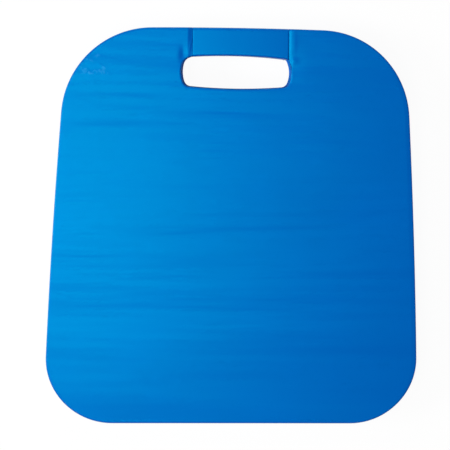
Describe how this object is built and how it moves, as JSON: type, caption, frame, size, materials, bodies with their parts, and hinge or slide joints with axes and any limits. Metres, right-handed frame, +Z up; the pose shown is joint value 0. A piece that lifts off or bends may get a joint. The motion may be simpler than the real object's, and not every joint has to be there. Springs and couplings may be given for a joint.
{
  "type": "balance pad",
  "caption": "Thick closed-cell foam balance pad with a tapered, round-cornered outline, a hand slot and a smooth wrapped grip bar.",
  "frame": {"origin": "middle of the footprint, on the floor face", "axes": "+Z up through the thickness, +Y along the pad towards the handle end, +X across the pad"},
  "size_m": [0.3872, 0.41, 0.05],
  "materials": {
    "skin": "satin",
    "foam": "matte",
    "adhesive": "matte",
    "wrap": "satin"
  },
  "bodies": {
    "root": {"bottom_skin": "skin", "bottom_skin_bond": "adhesive", "lower_foam_ply": "foam", "lower_ply_bond": "adhesive", "middle_foam_ply": "foam", "upper_ply_bond": "adhesive", "upper_foam_ply": "foam", "top_skin_bond": "adhesive", "top_skin": "skin", "grip_wrap": "wrap", "wrap_lap_bond": "adhesive"}
  },
  "joints": []
}
